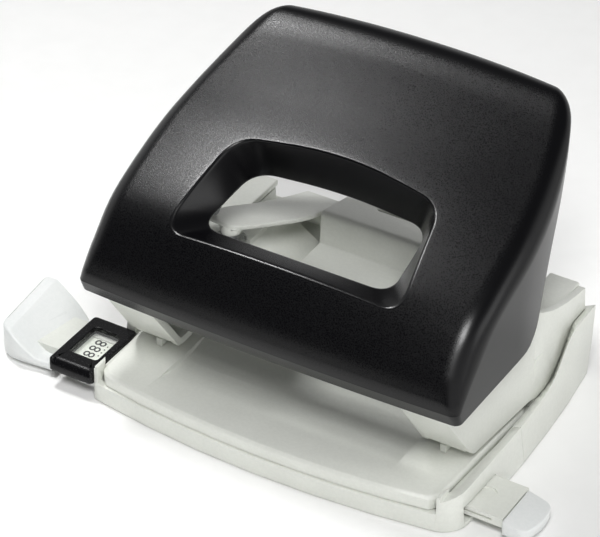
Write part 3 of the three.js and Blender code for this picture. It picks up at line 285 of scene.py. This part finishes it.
# the handle's hood, in mm; t runs from its front rim to its rear rim
hood = {
    "halfWidth": 67.3, "wall": 2.3, "crownDrop": 2.4, "skinInset": 0.15,
    # shoulder radius: crisp at the front rim, full from a third of the way up
    "shoulder": (2.6, 8.5), "shoulderGrows": (0.04, 0.3),
    # what the side and the shoulder take of a cross-section's run from its side edge to the crown
    "sideShare": 0.25, "arcShare": 0.3,
    # the sides draw in behind this y, by this share of its square; the rear rim bows back by so much from this t
    "taperFrom": 15, "taper": 0.004, "bow": 3, "bowFrom": 0.6,
    # side view (y, z): the crown from the front rim to the rear rim, and the lower edge of the sides
    "crown": [(-22.8, 41.5), (-25.1, 46.3), (-24.9, 50.5), (-21.5, 58), (-12, 69), (0, 76.4), (21, 85.3), (40, 92.2),
              (60, 99.6), (71, 103.9), (76.4, 102.6), (77.6, 99), (77.5, 95)],
    "sides": [(22, 41.5), (23, 41.9), (24.5, 42.2), (26, 43.3), (28, 44.8), (30.5, 48.5), (34.4, 58.5), (41, 70.6),
              (53, 84.6), (62, 90.6), (66, 92.8), (67.2, 93.8), (67.5, 94.6)],
    "gripFace": [(-41.6, -12, 7), (41.6, -12, 7), (36, 21.6, 8), (0, 26.4, 30), (-36, 21.6, 8)],
    "gripFoot": [(-33.4, -3.4, 7), (33.4, -3.4, 7), (31, 24.6, 8), (0, 27.6, 24), (-31, 24.6, 8)],
    # the tunnel's lower edge stands at this z over y = 0 and climbs to the rear; its lip and the rim are rounded
    "gripCentre": 7, "gripFootZ": 67, "gripFootClimb": 0.19, "lipRound": 0.9, "rimRound": 0.35,
    "spokes": 400, "skinRings": 112, "innerRings": 34, "tunnelRings": 22,
    # where the spokes meet on the skin: the t of the middle of the grip opening
    "gripPlace": 0.42,
    # smooth border of the grained face: outside this |a|, below this t and behind this y
    "satinSide": (0.46, 0.52), "satinFront": (0.1, 0.2), "satinRear": (66, 70),
}


def curveThrough(points, straight=0):
    # uniform Catmull-Rom curve through the points: t from 0 at the first to 1 at the last;
    # its first spans may be straight, with a crease where the curve begins
    knots = np.array(points, float)

    def at(t):
        place = np.clip(np.asarray(t, float), 0, 1) * (len(knots) - 1)
        i = np.minimum(place.astype(int), len(knots) - 2)
        w = (place - i)[..., None]
        p0, p1 = knots[np.maximum(i - 1, straight)], knots[i]
        p2, p3 = knots[i + 1], knots[np.minimum(i + 2, len(knots) - 1)]
        v0, v1 = (p2 - p0) / 2, (p3 - p1) / 2
        curve = (2 * p1 - 2 * p2 + v0 + v1) * w**3 + (-3 * p1 + 3 * p2 - 2 * v0 - v1) * w**2 + v0 * w + p1
        return np.where((i < straight)[..., None], p1 + (p2 - p1) * w, curve)

    return at


crownAt, sideAt = curveThrough(hood["crown"], 1), curveThrough(hood["sides"])


def crownInward(t):
    # unit vector in side view from the crown into the hood: the curve's direction turned by a right angle
    step = 0.0001
    run = crownAt(np.minimum(t + step, 1)) - crownAt(np.maximum(t - step, 0))
    run /= np.linalg.norm(run, axis=-1, keepdims=True)
    return np.stack([run[..., 1], -run[..., 0]], -1)


def hoodSkin(t, a, inset=0.0):
    # each t has one cross-section between the side edge and the crown: straight up the side, an arc over
    # the shoulder, then a parabola to the middle; |a| is 1 at the side edge and 0 on the crown
    t, a = np.broadcast_arrays(np.asarray(t, float), np.asarray(a, float))
    half, side, arc = hood["halfWidth"], hood["sideShare"], hood["arcShare"]
    low, high = sideAt(t), crownAt(t) + inset * crownInward(t)
    height = np.linalg.norm(high - low, axis=-1)
    drop = hood["crownDrop"] * np.sin(np.pi * np.minimum(1, 0.15 + 0.85 * t)) + 0.3
    crisp, full = hood["shoulder"]
    radius = crisp + (full - crisp) * smoothstep(t, *hood["shoulderGrows"]) - inset / 2
    radius = np.minimum(radius, height - drop - 0.2)
    shoulderX = half - radius
    tilt = np.arctan(2 * drop / shoulderX)
    shoulderZ = height - drop - radius * np.cos(tilt)
    u = 1 - np.abs(a)
    turn = np.clip((u - side) / arc, 0, 1) * (np.pi / 2 - tilt)
    joinX = shoulderX + radius * np.sin(tilt)
    flatX = joinX * (1 - np.clip((u - side - arc) / (1 - side - arc), 0, 1))
    onSide, onArc = u <= side, u <= side + arc
    x = np.where(onSide, half, np.where(onArc, shoulderX + radius * np.cos(turn), flatX))
    level = np.where(onSide, shoulderZ * u / side,
                     np.where(onArc, shoulderZ + radius * np.sin(turn), height - drop * (flatX / joinX) ** 2))
    share = x / half
    place = low + (high - low) * (level / height)[..., None]
    bow = hood["bow"] * smoothstep(t, hood["bowFrom"], 1) * share**2.5
    width = half - hood["taper"] * np.maximum(0, place[..., 0] - hood["taperFrom"]) ** 2 - inset
    return np.stack([np.sign(a) * share * width, place[..., 0] - bow, place[..., 1]], -1)


def filletedOutline(corners, count):
    # straight edges joined at each corner by a quadratic curve that starts a radius away, then evenly spaced
    knots = np.array([c[:2] for c in corners], float)
    path = []
    for i, (x, y, radius) in enumerate(corners):
        ends = []
        for other in (knots[i - 1], knots[(i + 1) % len(knots)]):
            gap = other - knots[i]
            length = np.linalg.norm(gap)
            ends.append(knots[i] + gap * min(radius, length / 2.01) / length)
        w = np.linspace(0, 1, 25)[:, None]
        path.append((1 - w) ** 2 * ends[0] + 2 * w * (1 - w) * knots[i] + w**2 * ends[1])
    path = np.vstack(path + [path[0][:1]])
    run = np.concatenate([[0], np.cumsum(np.linalg.norm(np.diff(path, axis=0), axis=1))])
    wanted = np.linspace(0, run[-1], count, endpoint=False)
    return np.stack([np.interp(wanted, run, path[:, k]) for k in (0, 1)], -1)


def grown(outline, reach, centre):
    # each point moved away from the centre by reach
    arm = outline - centre
    length = np.linalg.norm(arm, axis=1, keepdims=True)
    return centre + arm * (length + reach) / length


def skinPlace(points, inset=0.0):
    # (t, a) of the skin over each (x, y), by Newton steps with a numeric slope from a first guess on the crown
    guesses, step = np.linspace(0.17, 0.9, 200), 1e-4
    t = np.interp(points[:, 1], crownAt(guesses)[:, 0], guesses)
    a = points[:, 0] / hood["halfWidth"] * 0.5
    for _ in range(12):
        here = hoodSkin(t, a, inset)[:, :2]
        alongT = (hoodSkin(t + step, a, inset)[:, :2] - here) / step
        alongA = (hoodSkin(t, a + step, inset)[:, :2] - here) / step
        miss = points - here
        det = alongT[:, 0] * alongA[:, 1] - alongT[:, 1] * alongA[:, 0]
        t = t + (miss[:, 0] * alongA[:, 1] - miss[:, 1] * alongA[:, 0]) / det
        a = a + (alongT[:, 0] * miss[:, 1] - alongT[:, 1] * miss[:, 0]) / det
    return np.stack([t, a], -1)


def makeHood():
    # one closed ring-shaped surface: for each spoke round the grip opening, out over the skin to the rim,
    # round the rim, back under the skin and down and up the grip tunnel
    count, centre = hood["spokes"], np.array([0.0, hood["gripCentre"]])
    face = filletedOutline(hood["gripFace"], count)
    foot = filletedOutline(hood["gripFoot"], count)
    start = skinPlace(grown(face, hood["lipRound"], centre))
    # each spoke's end: where its line from the middle leaves the square of t and a
    middle = np.array([hood["gripPlace"], 0.0])
    ray = start - middle
    reach = np.min(np.stack([
        np.where(ray[:, 0] > 0, (1 - middle[0]) / ray[:, 0], np.inf),
        np.where(ray[:, 0] < 0, -middle[0] / ray[:, 0], np.inf),
        1 / np.maximum(np.abs(ray[:, 1]), 1e-9)]), axis=0)
    end = middle + ray * reach[:, None]
    for corner in ((0, -1), (0, 1), (1, -1), (1, 1)):
        end[np.argmin(np.linalg.norm(end - corner, axis=1))] = corner
    ring = np.linspace(0, 1, hood["skinRings"])[:, None, None]
    path = start + (end - start) * ring
    outer = hoodSkin(path[..., 0], path[..., 1], hood["skinInset"])
    under = skinPlace(grown(face, hood["wall"] + 0.2, centre), hood["wall"])
    back = np.linspace(1, 0, hood["innerRings"])[:, None, None]
    inside = under + (end - under) * back
    inner = hoodSkin(inside[..., 0], inside[..., 1], hood["wall"])
    # the rim: from the outer to the inner edge with rounded arrises
    rimIn = inner[0] - outer[-1]
    outward = outer[-1] - outer[-2]
    outward /= np.linalg.norm(outward, axis=1, keepdims=True)
    turn = np.linspace(0, np.pi, 9)[1:-1, None, None]
    rim = outer[-1] + rimIn * (1 - np.cos(turn)) / 2 + outward * hood["rimRound"] * np.sin(turn)
    # the tunnel: down its outside, round its toe, up its inside and over the lip
    outFoot = grown(foot, hood["wall"], centre)
    footIn, footOut = [
        np.column_stack([edge, hood["gripFootZ"] + hood["gripFootClimb"] * edge[:, 1]]) for edge in (foot, outFoot)]
    down = np.linspace(0, 1, 7)[1:, None, None]
    shaft = inner[-1] + (footOut - inner[-1]) * down
    toe = footOut + (footIn - footOut) * np.array([0.12, 0.5, 0.88])[:, None, None]
    toe[..., 2] -= np.array([0.25, 0.4, 0.25])[:, None]
    lipStart = skinPlace(face)
    lipEdge = hoodSkin(lipStart[:, 0], lipStart[:, 1], hood["skinInset"])
    lipDirection = footIn - lipEdge
    lipDirection /= np.linalg.norm(lipDirection, axis=1, keepdims=True)
    wallTop = lipEdge + lipDirection * hood["lipRound"]
    up = np.linspace(0, 1, hood["tunnelRings"])[:, None, None]
    tunnel = footIn + (wallTop - footIn) * up
    w = np.linspace(0, 1, 8)[1:-1, None, None]
    lip = (1 - w) ** 2 * wallTop + 2 * w * (1 - w) * lipEdge + w**2 * outer[0]
    points = np.concatenate([outer, rim, inner, shaft, toe, tunnel, lip])
    rows = len(points)
    # satin: 1 on the smooth border, shoulders and tunnel, 0 on the grained face
    satin = np.ones((rows, count))
    t, a = path[..., 0], np.abs(path[..., 1])
    border = np.maximum(smoothstep(a, *hood["satinSide"]), 1 - smoothstep(t, *hood["satinFront"]))
    satin[: hood["skinRings"]] = np.maximum(border, smoothstep(outer[..., 1], *hood["satinRear"]))
    quads = gridQuads(rows, count, True, True)
    makePiece("handle_hood", points.reshape(-1, 3) * mm, quads, "handle", "black_plastic", ["handle_shell"],
              {"satin": satin})


makeHood()
print("hood made")


def closedPiece(name, rings, body, slotName, replaced):
    # rings of points, (ring, place on the ring, xyz), joined into one closed surface and capped at both ends
    rows, count = rings.shape[:2]
    faces = gridQuads(rows, count, wrapColumns=True).tolist()
    faces += [list(range(count))[::-1], list(range((rows - 1) * count, rows * count))]
    return makePiece(name, rings.reshape(-1, 3) * mm, faces, body, slotName, replaced)


# bezel and pane of the guide's window, in mm
windowFrame = {
    "x": (-80, -63.4), "y": (-23.4, 3.2), "top": 10.4, "skirt": 6.2, "overBar": 7.8, "barFront": -15.2,
    "corner": 1.6, "frontRound": 3.2, "edgeRound": 0.45,
    "opening": {"x": (-76.6, -66.0), "y": (-16.4, -1.6), "corner": 1.3},
    "lens": (8.5, 9.0), "points": 240,
}


def roundedBox(x, y, corner, count):
    # a rectangle in plan with rounded corners, anticlockwise
    corners = [(x[0], y[0], corner), (x[1], y[0], corner), (x[1], y[1], corner), (x[0], y[1], corner)]
    return filletedOutline(corners, count)


def inwardOf(outline):
    # unit vectors into an anticlockwise outline: the run along it turned left
    run = np.roll(outline, -1, axis=0) - np.roll(outline, 1, axis=0)
    return np.column_stack([-run[:, 1], run[:, 0]]) / np.linalg.norm(run, axis=1, keepdims=True)


def makeWindowFrame():
    # a ring: up the outside, a quarter circle over the edge that is wider at the front, across the top,
    # down the opening and back under; the underside steps up where the bar passes
    f = windowFrame
    outer = roundedBox(f["x"], f["y"], f["corner"], f["points"])
    inner = roundedBox(f["opening"]["x"], f["opening"]["y"], f["opening"]["corner"], f["points"])
    middle = np.array([np.mean(f["x"]), np.mean(f["y"])])
    inward = inwardOf(outer)
    bend = f["edgeRound"] + (f["frontRound"] - f["edgeRound"]) * smoothstep(inward[:, 1], 0.2, 0.9)
    rows = []
    low = np.where(outer[:, 1] < f["barFront"], f["skirt"], f["overBar"])
    for share in (0, 0.5, 1):
        rows.append(np.column_stack([outer, low + (f["top"] - bend - low) * share]))
    for turn in np.linspace(0, np.pi / 2, 9)[1:]:
        edge = outer + inward * (bend * (1 - np.cos(turn)))[:, None]
        rows.append(np.column_stack([edge, f["top"] - bend * (1 - np.sin(turn))]))
    flat = rows[-1]
    lip = np.column_stack([grown(inner, 0.25, middle), np.full(len(inner), f["top"])])
    for share in (0.06, 0.5, 0.94, 1):
        rows.append(flat + (lip - flat) * share)
    for reach, drop in ((0.08, 0.07), (0, 0.25)):
        rows.append(np.column_stack([grown(inner, reach, middle), np.full(len(inner), f["top"] - drop)]))
    lowInside = np.where(inner[:, 1] < f["barFront"], f["skirt"], f["overBar"])
    for share in (0.1, 0.5, 1):
        rows.append(np.column_stack([inner, f["top"] - 0.25 + (lowInside - f["top"] + 0.25) * share]))
    points = np.array(rows)
    quads = gridQuads(len(points), f["points"], True, True)
    makePiece("window_bezel", points.reshape(-1, 3) * mm, quads, nodes["window_frame"]["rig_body"], "gloss_black",
              ["window_frame"])
    # the pane: a thin rounded slab just inside the opening
    (x0, x1), (y0, y1) = f["opening"]["x"], f["opening"]["y"]
    pane = roundedBox((x0 + 0.1, x1 - 0.1), (y0 + 0.1, y1 - 0.1), f["opening"]["corner"], 96)
    rings = np.array([np.column_stack([pane, np.full(len(pane), z)]) for z in f["lens"]])
    lens = closedPiece("window_pane", rings, nodes["window_lens"]["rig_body"], "clear_lens", ["window_lens"])
    lens.visible_shadow = False


makeWindowFrame()

# printed figures and dots of the scale, in mm
scale = {
    "digits": [(-72.2, -11.7), (-72.2, -8.35), (-72.2, -5.0)], "loop": (0.86, 0.98), "apart": 0.9, "stroke": 0.27,
    "dots": [(-69.2, -10.9), (-69.2, -9.1), (-69.2, -7.3), (-69.2, -5.5)], "dot": 0.26, "z": (7.41, 7.5),
    "points": 40,
}


def inkRing(centre, radii, stroke, z):
    # a flat ring of ink: an ellipse carried at two half widths and two heights
    turn = np.linspace(0, 2 * np.pi, scale["points"], endpoint=False)
    way = np.column_stack([np.cos(turn), np.sin(turn)])
    rows = []
    for side, level in ((1, z[0]), (1, z[1]), (-1, z[1]), (-1, z[0])):
        place = np.array(centre) + way * (np.array(radii) + side * stroke)
        rows.append(np.column_stack([place, np.full(len(turn), level)]))
    return np.array(rows)


def makeDigits():
    # each figure is two rings side by side, each dot a small disc; all in one mesh
    count, start, points, faces = scale["points"], 0, [], []
    for x, y in scale["digits"]:
        for side in (-1, 1):
            ring = inkRing((x + side * scale["apart"], y), scale["loop"], scale["stroke"], scale["z"])
            faces += (gridQuads(4, count, True, True) + start).tolist()
            points.append(ring.reshape(-1, 3))
            start += 4 * count
    for spot in scale["dots"]:
        disc = inkRing(spot, (scale["dot"], scale["dot"]), 0, scale["z"])[:2]
        faces += (gridQuads(2, count, wrapColumns=True) + start).tolist()
        faces += [list(range(start, start + count))[::-1], list(range(start + count, start + 2 * count))]
        points.append(disc.reshape(-1, 3))
        start += 2 * count
    makePiece("scale_figures", np.vstack(points) * mm, faces, "guide", "scale_print", material=inkBlack)


makeDigits()

# the wedge that the paper's edge meets, in mm: its plan as x, y and corner radius
paperStop = {
    "plan": [(-102.1, -18.2, 3), (-96.3, -20.8, 4), (-81.2, -19.4, 0.5), (-81.2, 4.8, 3), (-88.3, 7.8, 4),
             (-102.1, 7.8, 2)],
    "rimInner": -97.7, "rimRear": 15.7, "rimFall": 0.135, "slope": 0.8, "foot": 4.6, "bottom": 2.2, "round": 0.7,
    "points": 220, "rings": 60,
}


def makePaperStop():
    # rings from the middle out to the plan's outline: the top is the lower of a rim that falls to the front
    # and a slope that falls away from it, with a softened crease; then over the edge, down and underneath
    f = paperStop
    outline = filletedOutline(f["plan"], f["points"])
    centre = np.array([-92.0, -6.5])
    inner = centre + (outline - centre) * np.linspace(0.02, 1, f["rings"])[:, None, None]

    def top(place):
        rim = f["rimRear"] + f["rimFall"] * np.minimum(place[..., 1] - 5, 0)
        slope = rim - f["slope"] * (place[..., 0] - f["rimInner"])
        fall = (rim + slope - np.sqrt((rim - slope) ** 2 + 0.04)) / 2
        return (fall + f["foot"] + np.sqrt((fall - f["foot"]) ** 2 + 0.6)) / 2

    inwards = inwardOf(outline)
    rows = [np.column_stack([ring, top(ring)]) for ring in inner[:-4]]
    for turn in np.linspace(np.pi / 2, 0, 7):
        edge = outline + inwards * f["round"] * (1 - np.cos(turn))
        rows.append(np.column_stack([edge, top(edge) - f["round"] * (1 - np.sin(turn))]))
    for share in (0.5, 1):
        rows.append(np.column_stack([outline, (top(outline) - f["round"]) * (1 - share) + f["bottom"] * share]))
    rows.append(np.column_stack([outline + inwards * 2, np.full(len(outline), f["bottom"])]))
    closedPiece("paper_stop_block", np.array(rows)[::-1], "guide", "pale_plastic", ["paper_stop"])


makePaperStop()
print("guide made")

# return springs of the pins, in mm
returnSpring = {
    "pinX": 40, "pinY": 23, "low": 31.6, "high": 42.9, "radius": 4.2, "wire": 0.45, "turns": 5, "flatTurns": 0.5,
    "steps": 40, "section": 12,
    # what is left of its height when the handle is right down
    "pressed": 0.5,
}


def makeSpring(side, node):
    # a round wire along a helix: it lies flat for half a turn, climbs evenly and lies flat again
    f = returnSpring
    turns = f["turns"] + 2 * f["flatTurns"]
    turn = np.linspace(0, turns, int(f["steps"] * turns) + 1)
    climb = np.clip((turn - f["flatTurns"]) / f["turns"], 0, 1)
    height = f["low"] + f["wire"] + (f["high"] - f["low"] - 2 * f["wire"]) * climb
    around = np.linspace(0, 2 * np.pi, f["section"], endpoint=False)
    reach = f["radius"] + f["wire"] * np.cos(around)
    angle = 2 * np.pi * turn[:, None]
    rings = np.stack([side * f["pinX"] + reach * np.cos(angle), f["pinY"] + reach * np.sin(angle),
                      height[:, None] + f["wire"] * np.sin(around) + 0 * angle], -1)
    piece = closedPiece(node + "_coil", rings[::-1], nodes[node]["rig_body"], "bright_steel", [node])
    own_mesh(piece)


makeSpring(-1, "pin_spring_left")
makeSpring(1, "pin_spring_right")
print("springs made")

# every other piece: the width of its rounded edges, in mm
rounding = {
    "base_frame": 0.5, "rear_tub": 0.45, "chip_tray": 0.3, "paper_table": 0.35, "punch_housing": 0.35,
    "mechanism_cover": 0.5, "rear_cap_left": 0.6, "rear_cap_right": 0.6, "press_lever_left": 0.4,
    "press_lever_right": 0.4, "bar_tip": 0.35, "front_grip_pad": 0.3, "handle_yoke": 0.3,
}
# rounded to the full width even where short edges meet
wideRounding = "mechanism_cover press_lever_left press_lever_right handle_yoke".split()
# doubles closer than this are merged, in m; faces flatter than this are joined and edges sharper than that
# are rounded, in degrees
edgeRules = {"merge": 0.00001, "flat": 0.6, "sharp": 32, "segments": 2}
slotNodes = {
    "light_plastic": "base_frame rear_tub chip_tray paper_table punch_housing mechanism_cover rear_cap_left "
                     "rear_cap_right press_lever_left press_lever_right guide_bar",
    "pale_plastic": "bar_tip",
    "scale_print": "scale_strip",
    "dark_rubber": "front_grip_pad rear_foot_left rear_foot_right",
    "bright_steel": "pivot_axle lever_axle punch_pin_left punch_pin_right pin_clip_left pin_clip_right "
                    "die_left die_right axle_clip_left axle_clip_right",
    "zinc_steel": "handle_yoke punch_bracket_left punch_bracket_right base_screw_front_left "
                  "base_screw_front_right base_screw_rear_left base_screw_rear_right",
}


def roundedNode(name, slotName):
    # the node's own shape, merged, with its edges rounded by a live bevel
    mesh = bpy.data.meshes.new(name + "_rounded")
    work = bmesh.new()
    work.from_mesh(nodes[name].data)
    bmesh.ops.remove_doubles(work, verts=work.verts, dist=edgeRules["merge"])
    bmesh.ops.dissolve_limit(work, angle_limit=math.radians(edgeRules["flat"]), verts=work.verts, edges=work.edges)
    work.to_mesh(mesh)
    work.free()
    mesh.materials.clear()
    mesh.materials.append(finishes[slotName])
    mesh.polygons.foreach_set("use_smooth", np.ones(len(mesh.polygons), bool))
    piece = bpy.data.objects.new(name + "_rounded", mesh)
    scene.collection.objects.link(piece)
    bevel = piece.modifiers.new("edges", "BEVEL")
    bevel.width, bevel.segments = rounding[name] * mm, edgeRules["segments"]
    bevel.limit_method, bevel.angle_limit = "ANGLE", math.radians(edgeRules["sharp"])
    bevel.harden_normals = True
    bevel.use_clamp_overlap = name not in wideRounding
    bevel.miter_outer = "MITER_ARC"
    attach(piece, nodes[name]["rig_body"])
    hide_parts(name)


for slotName, names in slotNodes.items():
    for name in names.split():
        if name in rounding:
            roundedNode(name, slotName)
        else:
            node = nodes[name]
            node.data.materials.clear()
            node.data.materials.append(finishes[slotName])
print("nodes dressed")


# camera, lamps, world and floor, in m
studio = {
    "camera": {"target": (0, 0, 0.061), "distance": 0.889, "azimuth": 31.3, "elevation": 35.6, "lens": 176},
    # name: place, aim, size, watts
    "lamps": {
        "key": ((-0.24, 0.04, 0.485), (-0.028, 0.016, 0.083), (0.08, 0.08), 1.25),
        "right": ((1.1, 0.15, 0.45), (0, 0, 0.03), (0.6, 0.4), 1.0),
        "front": ((0.42, -0.64, 1.06), (0, 0, 0.03), (0.4, 0.4), 10.5),
    },
    # world: grey level near the horizon and overhead, what is left of it in the dark quarter, and its direction
    "world": {"horizon": 0.75, "zenith": 0.1, "dark": 0.1, "toward": (-0.42, -0.85, 0.3)},
    "floor": (252, 252, 251), "floorHalf": 1.2,
}


def aimed(ob, place, aim):
    ob.location = place
    ob.rotation_euler = (Vector(place) - Vector(aim)).to_track_quat("Z", "Y").to_euler()


view = studio["camera"]
azimuth, elevation = math.radians(view["azimuth"]), math.radians(view["elevation"])
toCamera = (math.sin(azimuth) * math.cos(elevation), -math.cos(azimuth) * math.cos(elevation), math.sin(elevation))
camera = bpy.data.objects.new("camera", bpy.data.cameras.new("camera"))
camera.data.lens, camera.data.sensor_width = view["lens"], 36
camera.data.clip_start, camera.data.clip_end = 0.01, 50
scene.collection.objects.link(camera)
scene.camera = camera
aimed(camera, [view["target"][k] + view["distance"] * toCamera[k] for k in range(3)], view["target"])

for name, (place, aim, size, watts) in studio["lamps"].items():
    lamp = bpy.data.lights.new(name, "AREA")
    lamp.shape, lamp.size, lamp.size_y, lamp.energy = "RECTANGLE", size[0], size[1], watts
    ob = bpy.data.objects.new(name, lamp)
    scene.collection.objects.link(ob)
    aimed(ob, place, aim)


def makeWorld():
    # pale near the horizon, dim overhead and dark towards one side, where a black card would stand in a studio
    world = bpy.data.worlds.new("world")
    scene.world = world
    s = Shader("world", world)
    settings = studio["world"]
    way = s.add("ShaderNodeTexCoord", output="Generated")
    height = s.add("ShaderNodeSeparateXYZ", None, [way], "Z")
    toward = Vector(settings["toward"]).normalized()
    facing = s.add("ShaderNodeVectorMath", {"operation": "DOT_PRODUCT"}, [way, tuple(toward)], "Value")
    shade = s.ramp(facing, 0.45, 0.9, 1, settings["dark"])
    level = s.ramp(height, 0.3, 0.75, settings["horizon"], settings["zenith"]) * shade
    background = s.tree.nodes["Background"]
    background.inputs["Color"].default_value = (1, 1, 1, 1)
    s.feed(background.inputs["Strength"], level)


makeWorld()


def makeFloor():
    half = studio["floorHalf"]
    mesh = bpy.data.meshes.new("floor")
    mesh.from_pydata([(-half, -half, 0), (half, -half, 0), (half, half, 0), (-half, half, 0)], [], [(0, 1, 2, 3)])
    s = Shader("floorPaper")
    fleck = s.ramp(s.noise(0.01, 3), 0.3, 0.7)
    mesh.materials.append(s.finish(colour=s.blend(fleck, rgb(*studio["floor"]), rgb(250, 250, 249)), roughness=0.9))
    floor = bpy.data.objects.new("floor", mesh)
    scene.collection.objects.link(floor)


makeFloor()
scene.view_settings.view_transform = "Standard"
print("studio made")
